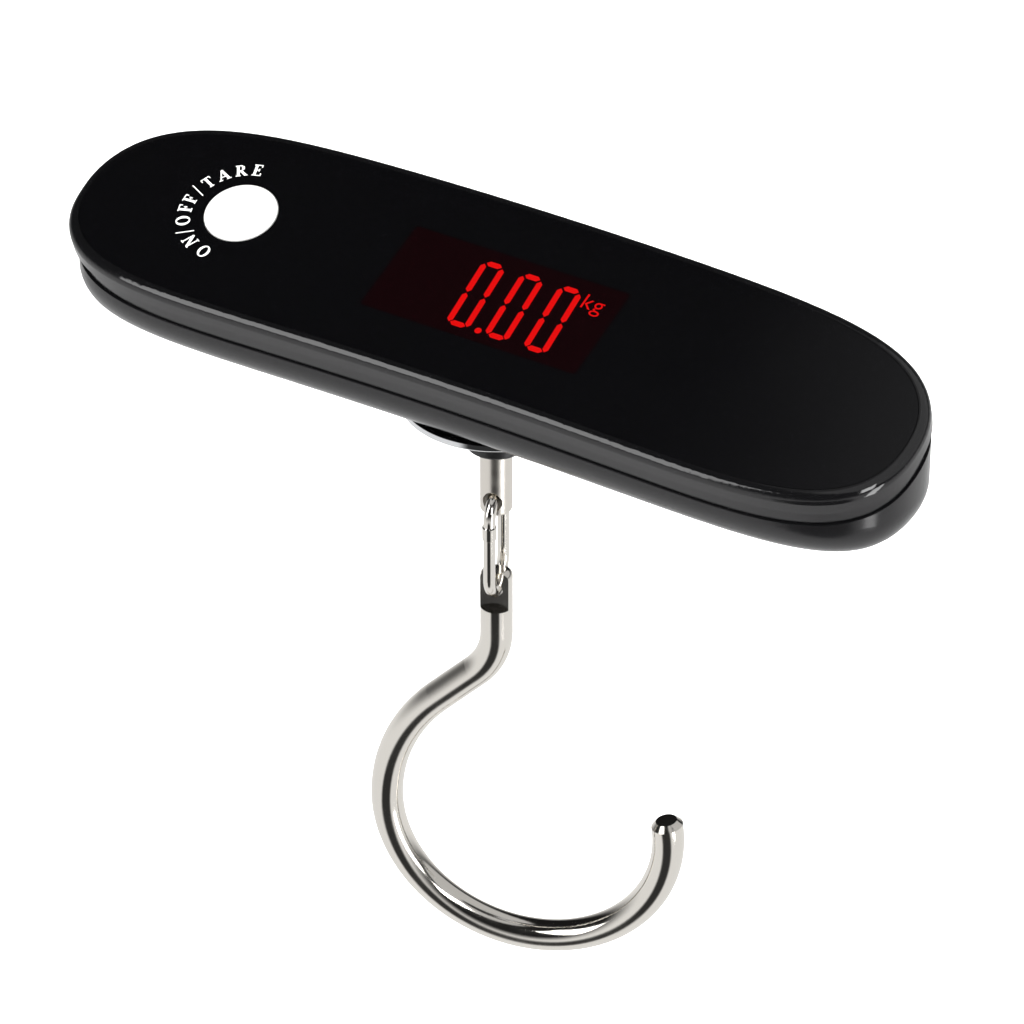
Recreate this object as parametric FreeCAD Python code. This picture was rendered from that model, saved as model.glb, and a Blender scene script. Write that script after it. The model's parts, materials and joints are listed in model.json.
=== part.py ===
import FreeCAD, Part
import math
import os

from FreeCAD import Placement, Rotation, Vector

os.makedirs("parts", exist_ok=True)

# A bar-shaped digital luggage scale. Millimetres. Z is up along the hook's shaft, X runs along the
# handle and -Y faces the person who reads the display. The origin is where the shaft's axis crosses
# the flat underside of the handle. The top face leans towards the reader.

# ---- handle outline, in the plane of the top face -------------------------------------------------
panel_half_length = 74.5
panel_half_width = 17.8
side_exponent = 6.4      # high: the long sides stay nearly straight
end_exponent = 2.25      # near 2: the ends are nearly round
outline_bow = 2.9        # the reader's side is nearly straight and the palm side bellies out
outline_stations = 22
face_tilt = 17.5         # degrees
face_height = 19.6       # middle of the face above the flat underside
face_setback = 2.0       # middle of the face in front of the shaft's axis
handle_shift = 1.1       # middle of the handle to the right of the shaft's axis

# ---- stack under the top face ---------------------------------------------------------------------
panel_thickness = 1.6
gasket_thickness = 0.2
deck_thickness = 1.4
bezel_width = 1.8
bezel_depth = 3.5
bezel_edge_radius = 1.5
panel_gap = 0.10
band_step = 0.35
seam_depth = 6.3
seam_gap = 0.25
seam_end_inset = 0.6      # how far the casing's ends stand in from the bezel's at the seam
lip_depth = 0.9
lip_thickness = 0.7
upper_wall = 2.65
lip_gap = 0.08
wall = 1.8
underside_radius = 7.4

# ---- button and its switch ------------------------------------------------------------------------
button_x = -47.8
button_radius = 6.05
button_proud = 0.35
button_gap = 0.15
button_flange_width = 0.95
button_flange_thickness = 0.75
button_travel = 0.35
button_edge_radius = 0.3
switch_side = 6.0
plunger_radius = 1.7
plunger_length = 1.0
contact_gap = 0.05

# ---- circuit board --------------------------------------------------------------------------------
board_depth = 5.0        # top of the board below the face
board_thickness = 1.0
board_left = -60.0
board_right = 19.6
board_half_width = 12.0
board_screw_radius = 1.0
board_screw_length = 2.6
board_screw_inset = 2.6
board_screw_right = -22.6
board_corner = 2.0
board_post_radius = 2.2

# ---- display --------------------------------------------------------------------------------------
window_left = -19.5
window_right = 20.0
window_low = -9.6
window_high = 8.4
window_corner = 0.6
window_gap = 0.06
digit_height = 14.0
digit_width = 4.2
digit_pitch = 7.05
digit_left = -5.0
digit_low = -7.9
digit_lean = -4.0        # degrees
segment_width = 1.0
segment_gap = 0.22
segment_thickness = 0.15
digit_count = 3
point_radius = 0.55
point_x = 1.0

# ---- shaft, bush, plate ---------------------------------------------------------------------------
shaft_radius = 2.65
shaft_bottom = -22.2
shaft_edge = 0.5
running_gap = 0.05
hook_turn = 15.0         # degrees that the hook's plane is turned from the handle's
link_hole_radius = 1.65
link_hole_height = -19.6
link_hole_chamfer = 0.35
bush_radius = 5.0
bush_nose = 9.8
bush_edge = 0.5
bush_flange_radius = 6.6
bush_flange_thickness = 1.2
plate_radius = 15.6
plate_thickness = 1.2
plate_edge = 0.4
plate_screw_circle = 11.5
plate_screw_count = 3
plate_screw_radius = 1.0
plate_screw_head = 1.9
plate_screw_length = 4.2

# ---- load cell ------------------------------------------------------------------------------------
beam_length = 40.0
beam_width = 14.0
beam_thickness = 4.8
beam_seat = 1.4          # pads under the beam's ends, above the floor
beam_pad_length = 8.0
beam_neck_radius = 1.6
beam_neck_x = 9.6
beam_screw_x = 16.4
beam_screw_radius = 1.45
beam_screw_head = 2.7
beam_screw_sink = 1.6
beam_screw_reach = 3.6
sleeve_wall = 1.0
gauge_length = 3.2
gauge_width = 4.4
gauge_row = 3.6
gauge_thickness = 0.25
washer_radius = 5.2
washer_thickness = 0.8
nut_across_flats = 8.0
nut_height = 2.6
shaft_end_proud = 0.6

# ---- chain link -----------------------------------------------------------------------------------
link_wire_radius = 1.0
link_bend_radius = 4.0
link_straight = 10.5
link_weld_radius = 1.18
link_weld_length = 2.6

# ---- hook -----------------------------------------------------------------------------------------
hook_wire_radius = 2.7
eye_hole_radius = 1.42
eye_above = 3.4
eye_below = 3.6
eye_thickness = 2.5
ring_radius = 24.4
ring_centre_out = 5.25
ring_centre_drop = 83.6
shoulder_arc_radius = 31.0
shoulder_arc_end = 135.0   # degrees round the shoulder arc's centre
neck_arc_radius = 12.0
tip_angle = 10.5            # degrees above level
tip_edge = 0.9

# ---- batteries ------------------------------------------------------------------------------------
cell_radius = 5.25
cell_length = 44.5
cell_nub_radius = 1.9
cell_nub_length = 0.8
cell_left = 23.2
cell_spacing = 10.9
cell_row_y = -2.0
cell_clearance = 0.3
contact_thickness = 0.4
contact_half_width = 3.8
contact_height = 7.6
spring_radius = 2.9
spring_wire = 0.3
spring_turns = 3
spring_length = 1.6
spring_taper = 0.35
contact_lift = 1.0
terminal_drop = 1.4
door_gap = 0.15
door_side_margin = 0.25
door_end_margin = 0.05
door_side_height = 4.0
door_notch_radius = 5.0
door_notch_depth = 0.6
door_notch_inset = 6.0

# ---- casing screws --------------------------------------------------------------------------------
casing_screw_radius = 1.1
casing_screw_head = 2.2
casing_screw_head_height = 1.3
casing_screw_sink = 1.5
casing_screw_length = 11.0
casing_post_radius = 2.5
casing_post_top = 6.6
end_screw_x = 69.7
side_screw_x = -33.0
side_screw_near = -11.0
side_screw_far = 9.8

# ---- leads ----------------------------------------------------------------------------------------
lead_radius = 0.5
lead_bend = 1.6
gauge_lead_y = 2.2
gauge_lead_step = 1.15
gauge_lead_rise_x = -23.0

FACE = Placement(
    Vector(handle_shift, -face_setback, face_height), Rotation(Vector(1, 0, 0), face_tilt)
)
HOOK_PLANE = Placement(Vector(0, 0, 0), Rotation(Vector(0, 0, 1), hook_turn))
deck_top = -(panel_thickness + gasket_thickness)
deck_bottom = deck_top - deck_thickness
floor_top = wall
BIG = 400.0


def save(shape, name):
    shape.exportStep("parts/" + name + ".step")


def save_group(shapes, name):
    Part.makeCompound(shapes).exportStep("parts/" + name + ".step")


def on_face(shape):
    """Moves a shape drawn about the level face into its leaning place."""
    moved = shape.copy()
    moved.Placement = FACE.multiply(moved.Placement)
    return moved


def in_hook_plane(shape):
    moved = shape.copy()
    moved.Placement = HOOK_PLANE.multiply(moved.Placement)
    return moved


def outline_half_width(x, reach, offset):
    share = min(1.0, abs(x) / reach)
    rest = 1.0 - share**side_exponent
    return (panel_half_width + offset) * rest ** (1.0 / end_exponent)


def outline_centre(x):
    return -outline_bow * (x / panel_half_length) ** 2


def outline_wire(offset, z, end_inset=0.0):
    """The handle's outline, moved outwards by offset, at height z over the level face."""
    reach = panel_half_length + offset - end_inset
    points = []
    for i in range(outline_stations + 1):
        x = -reach * math.cos(math.pi * i / outline_stations)
        y = outline_centre(x) + outline_half_width(x, reach, offset)
        points.append(Vector(x, y, z))
    for i in range(outline_stations - 1, 0, -1):
        x = -reach * math.cos(math.pi * i / outline_stations)
        y = outline_centre(x) - outline_half_width(x, reach, offset)
        points.append(Vector(x, y, z))
    curve = Part.BSplineCurve()
    curve.interpolate(Points=points, PeriodicFlag=True)
    return Part.Wire([curve.toShape()])


def slab(offset, top, bottom, end_inset=0.0):
    """A plate with the handle's outline between two heights over the level face."""
    face = Part.Face(outline_wire(offset, bottom, end_inset))
    return face.extrude(Vector(0, 0, top - bottom))


def box(x0, x1, y0, y1, z0, z1):
    return Part.makeBox(x1 - x0, y1 - y0, z1 - z0, Vector(x0, y0, z0))


def cylinder(radius, z0, z1, x=0.0, y=0.0):
    return Part.makeCylinder(radius, z1 - z0, Vector(x, y, z0))


def rounded_box(x0, x1, y0, y1, z0, z1, radius):
    body = box(x0, x1, y0, y1, z0, z1)
    upright = [
        e for e in body.Edges if abs(e.Vertexes[0].Z - e.Vertexes[1].Z) > 1e-6
    ]
    return body.makeFillet(radius, upright)


def edges_at_height(shape, z, tolerance=0.01):
    found = []
    for edge in shape.Edges:
        bounds = edge.BoundBox
        if abs(bounds.ZMin - z) < tolerance and abs(bounds.ZMax - z) < tolerance:
            found.append(edge)
    return found


def leaning_rim(offset):
    """The outline's face at the lower casing's leaning top edge."""
    rim = outline_wire(offset, -(seam_depth + seam_gap), seam_end_inset)
    return on_face(Part.Face(rim))


def tub(offset, floor_height, edge_radius):
    """The handle below the seam: upright walls under the leaning outline and a rounded level base."""
    walls = leaning_rim(offset).extrude(Vector(0, 0, -2 * face_height))
    kept = walls.common(box(-BIG, BIG, -BIG, BIG, floor_height, BIG))
    return kept.makeFillet(edge_radius, edges_at_height(kept, floor_height))


def casing_screw_places():
    end_y = -face_setback + outline_centre(end_screw_x)
    return [
        (handle_shift - end_screw_x, end_y),
        (handle_shift + end_screw_x, end_y),
        (handle_shift + side_screw_x, side_screw_near),
        (handle_shift + side_screw_x, side_screw_far),
    ]


def cell_centres():
    half = cell_spacing / 2
    height = floor_top + cell_clearance + cell_radius
    return [(cell_row_y - half, height), (cell_row_y + half, height)]


def door_limits():
    left = cell_left - spring_length - contact_thickness - door_end_margin
    right = cell_left + cell_length + contact_thickness + door_end_margin
    reach = cell_spacing / 2 + cell_radius + door_side_margin
    return left, right, cell_row_y - reach, cell_row_y + reach


def board_screw_places():
    low = -board_half_width + board_screw_inset
    high = board_half_width - board_screw_inset
    left = board_left + board_screw_inset
    right = board_screw_right
    return [(left, low), (left, high), (right, low), (right, high)]


def sunk_screw(head_radius, head_height, radius, length, x, y, z):
    """A screw driven upwards: its head's flat end is at height z."""
    head = cylinder(head_radius, z, z + head_height, x, y)
    shank = cylinder(radius, z + head_height, z + length, x, y)
    slot = box(
        x - head_radius, x + head_radius, y - 0.25, y + 0.25, z, z + head_height / 3
    )
    cross = box(
        x - 0.25, x + 0.25, y - head_radius, y + head_radius, z, z + head_height / 3
    )
    recess = slot.fuse(cross).common(cylinder(head_radius * 0.62, z, z + head_height, x, y))
    return head.fuse(shank).cut(recess)


# ---- face -----------------------------------------------------------------------------------------
def make_face_panel():
    panel = slab(0.0, 0.0, -panel_thickness)
    hole = cylinder(button_radius + button_gap, -BIG, BIG, button_x, 0.0)
    window = rounded_box(
        window_left, window_right, window_low, window_high, -BIG, BIG, window_corner
    )
    return on_face(panel.cut(hole).cut(window))


def make_display_window():
    pane = rounded_box(
        window_left + window_gap,
        window_right - window_gap,
        window_low + window_gap,
        window_high - window_gap,
        -panel_thickness,
        0.0,
        window_corner,
    )
    return on_face(pane)


def make_panel_gasket():
    """A thin adhesive frame that bonds the panel to the deck."""
    frame = slab(-0.4, -panel_thickness, deck_top)
    inside = slab(-3.4, -panel_thickness, deck_top)
    return on_face(frame.cut(inside))


def make_bezel():
    ring = slab(bezel_width, 0.0, -bezel_depth)
    ring = ring.makeFillet(bezel_edge_radius, edges_at_height(ring, 0.0))
    inside = slab(panel_gap, 1.0, -bezel_depth - 1.0)
    return on_face(ring.cut(inside))


# ---- casing shells --------------------------------------------------------------------------------
def make_upper_casing():
    deck = slab(0.0, deck_top, -bezel_depth)
    band = slab(bezel_width - band_step, -bezel_depth, -seam_depth, seam_end_inset)
    lip_outside = bezel_width - wall - lip_gap
    lip_inside = lip_outside - lip_thickness
    hollow = slab(bezel_width - band_step - upper_wall, deck_bottom, -(seam_depth + 1.0))
    shell = deck.fuse(band).cut(hollow)
    for x, y in board_screw_places():
        post = cylinder(board_post_radius, -board_depth, deck_bottom, x, y)
        shell = shell.fuse(post).cut(
            cylinder(board_screw_radius, -board_depth - 1.0, deck_bottom - 0.2, x, y)
        )
    flange_hole = button_radius + button_flange_width + button_gap
    shell = shell.cut(cylinder(flange_hole, -BIG, BIG, button_x, 0.0))
    shell = shell.cut(
        box(window_left, window_right, window_low, window_high, -seam_depth, 0.0)
    )
    shell = on_face(shell)
    # the lip stands upright inside the lower casing's upright walls
    lip = leaning_rim(lip_outside).cut(leaning_rim(lip_inside))
    lip_height = lip_depth + 3 * seam_gap
    lip = lip.extrude(Vector(0, 0, lip_height))
    lip.translate(Vector(0, 0, -lip_depth))
    shell = shell.fuse(lip)
    below_deck = on_face(slab(lip_outside - lip_thickness / 2, deck_bottom + 0.5, -face_height))
    for x, y in casing_screw_places():
        post = cylinder(casing_post_radius, casing_post_top, face_height + 10, x, y)
        pilot = cylinder(
            casing_screw_radius,
            casing_post_top - 1.0,
            casing_screw_sink + casing_screw_length + 0.3,
            x,
            y,
        )
        shell = shell.fuse(post.common(below_deck)).cut(pilot)
    return shell


def make_lower_casing():
    outer = tub(bezel_width, 0.0, underside_radius)
    inner = tub(bezel_width - wall, floor_top, underside_radius - wall)
    shell = outer.cut(inner)
    # pads under the ends of the load cell and posts for the casing screws
    for side in (-1, 1):
        middle = side * (beam_length / 2 - beam_pad_length / 2)
        pad = box(
            middle - beam_pad_length / 2,
            middle + beam_pad_length / 2,
            -beam_width / 2,
            beam_width / 2,
            floor_top / 2,
            floor_top + beam_seat,
        )
        shell = shell.fuse(pad)
    for x, y in casing_screw_places():
        post = cylinder(casing_post_radius, floor_top / 2, casing_post_top, x, y)
        shell = shell.fuse(post.common(outer))
    for x, y in casing_screw_places():
        shell = shell.cut(cylinder(casing_screw_radius, -1.0, casing_post_top + 1.0, x, y))
        shell = shell.cut(cylinder(casing_screw_head, -1.0, casing_screw_sink + casing_screw_head_height, x, y))
    for side in (-1, 1):
        x = side * beam_screw_x
        shell = shell.cut(cylinder(beam_screw_radius, -1.0, face_height, x))
        shell = shell.cut(cylinder(beam_screw_head, -1.0, beam_screw_sink + 0.2, x))
    shell = shell.cut(cylinder(bush_radius, -1.0, face_height))
    for x, y in plate_screw_places():
        shell = shell.cut(cylinder(plate_screw_radius, -1.0, plate_screw_length, x, y))
    left, right, near, far = door_limits()
    return shell.cut(box(left, right, near, far, -1.0, door_side_height))


def make_battery_door():
    left, right, near, far = door_limits()
    outer = tub(bezel_width, 0.0, underside_radius)
    inner = tub(bezel_width - wall, floor_top, underside_radius - wall)
    opening = box(
        left + door_gap,
        right - door_gap,
        near + door_gap,
        far - door_gap,
        -1.0,
        door_side_height,
    )
    door = outer.cut(inner).common(opening)
    notch = cylinder(
        door_notch_radius, -1.0, door_notch_depth, right - door_notch_inset, cell_row_y
    )
    keep = box(right - door_notch_inset, right, near, far, -1.0, 1.0)
    return door.cut(notch.common(keep))


def plate_screw_places():
    places = []
    for i in range(plate_screw_count):
        angle = math.radians(90 + 360.0 * i / plate_screw_count)
        places.append(
            (plate_screw_circle * math.cos(angle), plate_screw_circle * math.sin(angle))
        )
    return places


def make_casing_screws():
    return [
        sunk_screw(
            casing_screw_head,
            casing_screw_head_height,
            casing_screw_radius,
            casing_screw_length,
            x,
            y,
            casing_screw_sink,
        )
        for x, y in casing_screw_places()
    ]


# ---- button and switch ----------------------------------------------------------------------------
def make_tare_button():
    under_panel = -panel_thickness - 0.05
    cap = cylinder(button_radius, under_panel, button_proud, button_x)
    cap = cap.makeFillet(button_edge_radius, edges_at_height(cap, button_proud))
    flange = cylinder(
        button_radius + button_flange_width,
        under_panel - button_flange_thickness,
        under_panel,
        button_x,
    )
    return on_face(cap.fuse(flange))


def button_underside():
    return -panel_thickness - 0.05 - button_flange_thickness


def make_switch_plunger():
    top = button_underside() - contact_gap
    return on_face(cylinder(plunger_radius, top - plunger_length, top, button_x))


def make_tact_switch():
    half = switch_side / 2
    top = button_underside() - contact_gap - plunger_length / 2
    body = box(button_x - half, button_x + half, -half, half, -board_depth, top)
    well_bottom = button_underside() - contact_gap - plunger_length - button_travel - 0.1
    well = cylinder(plunger_radius + 0.05, well_bottom, 1.0, button_x)
    body = body.cut(well)
    for side_x in (-1, 1):
        for side_y in (-1, 1):
            x = button_x + side_x * (half + 0.5)
            y = side_y * half * 0.7
            leg = box(x - 0.6, x + 0.6, y - 0.35, y + 0.35, -board_depth, -board_depth + 0.25)
            body = body.fuse(leg)
    return on_face(body)


# ---- board and display ----------------------------------------------------------------------------
def make_main_board():
    board = rounded_box(
        board_left,
        board_right,
        -board_half_width,
        board_half_width,
        -board_depth - board_thickness,
        -board_depth,
        board_corner,
    )
    for x, y in board_screw_places():
        board = board.cut(cylinder(board_screw_radius, -BIG, BIG, x, y))
    board = on_face(board)
    for x, y in casing_screw_places():
        board = board.cut(cylinder(casing_post_radius + 0.4, -BIG, BIG, x, y))
    return board


def make_board_screws():
    screws = []
    for x, y in board_screw_places():
        bottom = -board_depth - board_thickness
        head = cylinder(board_screw_radius * 1.8, bottom - 0.9, bottom, x, y)
        shank = cylinder(board_screw_radius, bottom, bottom + board_screw_length, x, y)
        slot = box(x - 1.3, x + 1.3, y - 0.25, y + 0.25, bottom - 1.0, bottom - 0.6)
        screws.append(on_face(head.fuse(shank).cut(slot)))
    return screws


def make_board_parts():
    """The scale's chip under its epoxy, the crystal can and the small parts, under the board."""
    under = -board_depth - board_thickness
    chip = Part.makeSphere(9.0, Vector(-38.0, 2.0, under + 7.6)).common(
        box(-60, -20, -20, 20, under - 3.0, under)
    )
    parts = [on_face(chip)]
    can = Part.makeCylinder(1.1, 6.0, Vector(-30.5, -7.0, under - 1.1), Vector(1, 0, 0))
    parts.append(on_face(can))
    for i in range(5):
        x = -54.0 + 3.2 * i
        parts.append(on_face(box(x, x + 1.6, -8.6, -7.8, under - 0.6, under)))
    return parts


def make_led_display():
    depth = -board_depth
    top = -panel_thickness - segment_thickness - 0.05
    block = box(
        window_left + 0.5,
        window_right - 0.5,
        window_low + 0.3,
        window_high - 0.3,
        depth,
        top,
    )
    return on_face(block)


def segment_strip(start, end, z):
    """One lit bar with pointed ends between two corner points of a digit."""
    along = (end - start).normalize()
    across = Vector(-along.y, along.x, 0)
    half = segment_width / 2
    a = start + along * segment_gap
    b = end - along * segment_gap
    corners = [
        a,
        a + along * half + across * half,
        b - along * half + across * half,
        b,
        b - along * half - across * half,
        a + along * half - across * half,
    ]
    lifted = [Vector(p.x, p.y, z) for p in corners]
    face = Part.Face(Part.makePolygon(lifted + [lifted[0]]))
    return face.extrude(Vector(0, 0, segment_thickness))


def make_led_segments():
    """Three zeros and the point between the first two."""
    z = -panel_thickness - segment_thickness - 0.03
    lean = math.tan(math.radians(digit_lean))
    inset = segment_width / 2
    rows = [digit_low + inset, digit_low + digit_height / 2, digit_low + digit_height - inset]
    solids = []
    for i in range(digit_count):
        left = digit_left + i * digit_pitch + inset
        right = left + digit_width - segment_width

        def corner(x, y):
            return Vector(x + (y - digit_low) * lean, y, 0)

        solids.append(segment_strip(corner(left, rows[0]), corner(right, rows[0]), z))
        solids.append(segment_strip(corner(left, rows[2]), corner(right, rows[2]), z))
        for x in (left, right):
            solids.append(segment_strip(corner(x, rows[0]), corner(x, rows[1]), z))
            solids.append(segment_strip(corner(x, rows[1]), corner(x, rows[2]), z))
    solids.append(cylinder(point_radius, z, z + segment_thickness, point_x, rows[0]))
    return [on_face(s) for s in solids]


# ---- load cell ------------------------------------------------------------------------------------
beam_bottom = floor_top + beam_seat
beam_top = beam_bottom + beam_thickness


def make_load_cell():
    half = beam_length / 2
    beam = box(-half, half, -beam_width / 2, beam_width / 2, beam_bottom, beam_top)
    middle = (beam_bottom + beam_top) / 2
    for side in (-1, 1):
        neck = Part.makeCylinder(
            beam_neck_radius,
            beam_width + 2,
            Vector(side * beam_neck_x, -beam_width / 2 - 1, middle),
            Vector(0, 1, 0),
        )
        beam = beam.cut(neck)
        tapped = cylinder(
            beam_screw_radius, beam_bottom - 1, beam_top + 1, side * beam_screw_x
        )
        beam = beam.cut(tapped)
    return beam.cut(cylinder(shaft_radius + running_gap + sleeve_wall, 0, face_height))


def make_beam_sleeve():
    """The brass sleeve that the shaft turns in."""
    sleeve = cylinder(shaft_radius + running_gap + sleeve_wall, beam_bottom, beam_top)
    return sleeve.cut(cylinder(shaft_radius + running_gap, 0, face_height))


def make_strain_gauges():
    gauges = []
    for side in (-1, 1):
        for row in (-1, 1):
            x = side * beam_neck_x
            y = row * gauge_row
            gauge = box(
                x - gauge_length / 2,
                x + gauge_length / 2,
                y - gauge_width / 2,
                y + gauge_width / 2,
                beam_top,
                beam_top + gauge_thickness,
            )
            gauges.append(gauge)
    return gauges


def make_load_cell_screws():
    return [
        sunk_screw(
            beam_screw_head,
            1.6,
            beam_screw_radius,
            beam_bottom - beam_screw_sink + beam_screw_reach + 1.6,
            side * beam_screw_x,
            0.0,
            beam_screw_sink - 1.4,
        )
        for side in (-1, 1)
    ]


def make_thrust_washer():
    ring = cylinder(washer_radius, beam_top, beam_top + washer_thickness)
    return ring.cut(cylinder(shaft_radius + running_gap, 0, face_height))


# ---- shaft ----------------------------------------------------------------------------------------
nut_bottom = beam_top + washer_thickness + contact_gap
nut_top = nut_bottom + nut_height


def make_hook_shaft():
    top = nut_top + shaft_end_proud
    shaft = cylinder(shaft_radius, shaft_bottom, top)
    shaft = shaft.makeFillet(shaft_edge, edges_at_height(shaft, shaft_bottom))
    shaft = shaft.makeChamfer(shaft_edge, edges_at_height(shaft, top))
    hole = Part.makeCylinder(
        link_hole_radius, 4 * shaft_radius, Vector(0, -2 * shaft_radius, link_hole_height), Vector(0, 1, 0)
    )
    shaft = shaft.cut(hole)
    flare = link_hole_radius + link_hole_chamfer * 2
    for side in (-1, 1):
        mouth = Part.makeCone(
            link_hole_radius - link_hole_chamfer,
            flare,
            link_hole_chamfer * 3,
            Vector(0, side * (shaft_radius - link_hole_chamfer * 2), link_hole_height),
            Vector(0, side, 0),
        )
        shaft = shaft.cut(mouth)
    return in_hook_plane(shaft)


def make_shaft_nut():
    corner = nut_across_flats / math.sqrt(3)
    points = []
    for i in range(7):
        angle = math.radians(60 * i)
        points.append(Vector(corner * math.cos(angle), corner * math.sin(angle), nut_bottom))
    nut = Part.Face(Part.makePolygon(points)).extrude(Vector(0, 0, nut_height))
    return nut.cut(cylinder(shaft_radius, 0, face_height))


def make_guide_bush():
    """The black sleeve round the shaft: its flange sits on the floor inside the handle."""
    sleeve = cylinder(bush_radius, -bush_nose, floor_top)
    sleeve = sleeve.makeFillet(bush_edge, edges_at_height(sleeve, -bush_nose))
    flange = cylinder(bush_flange_radius, floor_top, floor_top + bush_flange_thickness)
    return sleeve.fuse(flange).cut(cylinder(shaft_radius + running_gap, -BIG, BIG))


def make_escutcheon():
    plate = cylinder(plate_radius, -plate_thickness, 0.0)
    plate = plate.makeFillet(plate_edge, edges_at_height(plate, -plate_thickness))
    plate = plate.cut(cylinder(bush_radius, -BIG, BIG))
    for x, y in plate_screw_places():
        cone = Part.makeCone(
            plate_screw_head, plate_screw_radius, plate_thickness, Vector(x, y, -plate_thickness)
        )
        plate = plate.cut(cone)
    return plate


def make_escutcheon_screws():
    screws = []
    for x, y in plate_screw_places():
        head = Part.makeCone(
            plate_screw_head, plate_screw_radius, plate_thickness, Vector(x, y, -plate_thickness)
        )
        shank = cylinder(plate_screw_radius, 0.0, plate_screw_length - plate_thickness - 0.2, x, y)
        slot = box(x - 2, x + 2, y - 0.25, y + 0.25, -plate_thickness - 1, -plate_thickness + 0.4)
        screws.append(head.fuse(shank).cut(slot))
    return screws


# ---- chain link and hook --------------------------------------------------------------------------
def swept(edges, radius, start, direction):
    path = Part.Wire(edges)
    profile = Part.Wire([Part.makeCircle(radius, start, direction)])
    return path.makePipeShell([profile], True, True)


link_top_bend = (
    link_hole_height
    + (link_bend_radius - math.sqrt(link_bend_radius**2 - shaft_radius**2)) / 2
    - link_bend_radius
)
link_low_bend = link_top_bend - link_straight
eye_height = link_low_bend - link_bend_radius


def make_chain_link():
    """A welded oval ring whose bends pass through the shaft and the hook's eye."""
    r = link_bend_radius
    high = link_top_bend
    low = link_low_bend
    parts = []
    for y in (-r, r):
        parts.append(cylinder(link_wire_radius, low, high, 0.0, y))
    axis = Vector(1, 0, 0)
    for z in (high, low):
        torus = Part.makeTorus(r, link_wire_radius, Vector(0, 0, z), axis)
        keep = box(-9, 9, -9, 9, z, z + 9) if z == high else box(-9, 9, -9, 9, z - 9, z)
        parts.append(torus.common(keep))
    ring = parts[0].multiFuse(parts[1:])
    weld_low = (high + low) / 2 + link_straight / 4
    weld = cylinder(link_weld_radius, weld_low, weld_low + link_weld_length, 0.0, -r)
    ends = edges_at_height(weld, weld_low) + edges_at_height(weld, weld_low + link_weld_length)
    weld = weld.makeChamfer(link_weld_radius - link_wire_radius, ends)
    return in_hook_plane(ring.fuse(weld).removeSplitter())


def arc_point(centre_x, centre_z, radius, degrees):
    angle = math.radians(degrees)
    return Vector(centre_x + radius * math.cos(angle), 0, centre_z + radius * math.sin(angle))


def make_hook():
    cz = -ring_centre_drop
    shoulder_x = ring_centre_out + shoulder_arc_radius - ring_radius
    tip = arc_point(ring_centre_out, cz, ring_radius, tip_angle)
    ring_low = arc_point(ring_centre_out, cz, ring_radius, -90)
    ring_side = arc_point(ring_centre_out, cz, ring_radius, 180)
    half_way = (180 + shoulder_arc_end) / 2
    shoulder_mid = arc_point(shoulder_x, cz, shoulder_arc_radius, half_way)
    shoulder_end = arc_point(shoulder_x, cz, shoulder_arc_radius, shoulder_arc_end)
    rise = math.radians(shoulder_arc_end - 90)
    run = (-shoulder_end.x - neck_arc_radius * (1 - math.cos(math.pi / 2 - rise))) / math.cos(rise)
    neck_start = shoulder_end + Vector(math.cos(rise), 0, math.sin(rise)) * run
    neck_centre = Vector(-neck_arc_radius, 0, neck_start.z + neck_arc_radius * math.cos(rise))
    neck_mid_angle = -(90 - math.degrees(rise)) / 2
    neck_mid = arc_point(neck_centre.x, neck_centre.z, neck_arc_radius, neck_mid_angle)
    neck_end = Vector(0, 0, neck_centre.z)
    eye_top = Vector(0, 0, eye_height + eye_above)
    edges = [
        Part.Arc(tip, ring_low, ring_side).toShape(),
        Part.Arc(ring_side, shoulder_mid, shoulder_end).toShape(),
        Part.LineSegment(shoulder_end, neck_start).toShape(),
        Part.Arc(neck_start, neck_mid, neck_end).toShape(),
        Part.LineSegment(neck_end, eye_top).toShape(),
    ]
    tip_angle_rad = math.radians(tip_angle)
    along_tip = Vector(math.sin(tip_angle_rad), 0, -math.cos(tip_angle_rad))
    rod = swept(edges, hook_wire_radius, tip, along_tip)
    rod = rod.makeChamfer(tip_edge, end_edges(rod, tip))
    rod = rod.makeFillet(hook_wire_radius * 0.45, end_edges(rod, eye_top))
    # the eye end: flats on both sides and a hole for the chain link
    for side in (-1, 1):
        near = side * eye_thickness / 2
        far = side * 2 * hook_wire_radius
        flat = box(
            -2 * hook_wire_radius,
            2 * hook_wire_radius,
            min(near, far),
            max(near, far),
            eye_height - eye_below,
            eye_height + eye_above + 1.0,
        )
        rod = rod.cut(flat)
    hole = Part.makeCylinder(
        eye_hole_radius, 4 * hook_wire_radius, Vector(0, -2 * hook_wire_radius, eye_height), Vector(0, 1, 0)
    )
    return in_hook_plane(rod.cut(hole))


def end_edges(shape, point):
    found = []
    for edge in shape.Edges:
        if edge.Closed and (edge.BoundBox.Center - point).Length < 0.2:
            found.append(edge)
    return found


# ---- batteries ------------------------------------------------------------------------------------
def make_battery_cells():
    """Two cells, head to tail: the second one's nub is at the left contact."""
    cells = []
    for index, (y, z) in enumerate(cell_centres()):
        along = Vector(1, 0, 0)
        body_length = cell_length - cell_nub_length
        body_x = cell_left if index == 0 else cell_left - spring_length + cell_nub_length
        nub_x = cell_left + body_length if index == 0 else cell_left - spring_length
        can = Part.makeCylinder(cell_radius, body_length, Vector(body_x, y, z), along)
        can = can.makeFillet(0.4, [e for e in can.Edges if e.Closed])
        nub = Part.makeCylinder(cell_nub_radius, cell_nub_length, Vector(nub_x, y, z), along)
        cells.append(can.fuse(nub))
    return cells


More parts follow.
